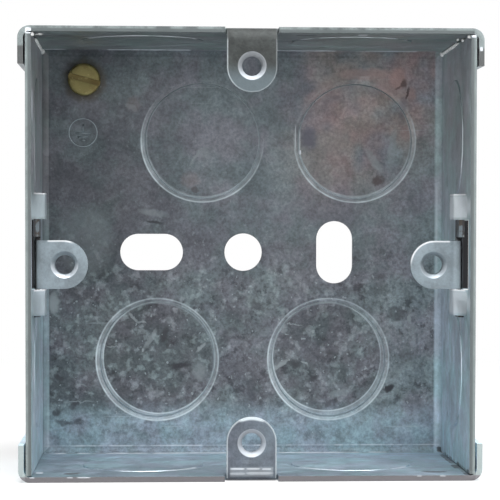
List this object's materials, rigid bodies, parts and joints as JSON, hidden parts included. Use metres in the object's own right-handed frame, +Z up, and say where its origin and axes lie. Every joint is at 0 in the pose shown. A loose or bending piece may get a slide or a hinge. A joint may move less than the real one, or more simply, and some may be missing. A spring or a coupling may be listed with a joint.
{
  "type": "flush back box",
  "caption": "Open-fronted folded steel box for a wiring accessory, with round knockouts, fixed and sliding tapped lugs, fixing slots in the back and a brass earth screw.",
  "frame": {"origin": "middle of the back's outer face, on the axis of the central fixing hole", "axes": "+X to the right, +Z up as installed, -Y out of the open mouth towards the viewer"},
  "size_m": [0.0744, 0.035, 0.0726],
  "materials": {
    "galvanised_sheet": "hot-dip galvanised with a faint spangle",
    "lug_steel": "zinc plated",
    "earth_brass": "dull brass"
  },
  "bodies": {
    "box": {"box_shell": "galvanised_sheet", "earth_screw": "earth_brass"},
    "left_lug": {"left_adjustable_lug": "lug_steel"},
    "right_lug": {"right_adjustable_lug": "lug_steel"}
  },
  "joints": [
    {"name": "left_lug_slide", "type": "slide", "parent": "box", "child": "left_lug", "axis": [0, 0, 1], "range_m": [0, 0.0034]},
    {"name": "right_lug_slide", "type": "slide", "parent": "box", "child": "right_lug", "axis": [0, 0, 1], "range_m": [0, 0.0034]}
  ]
}
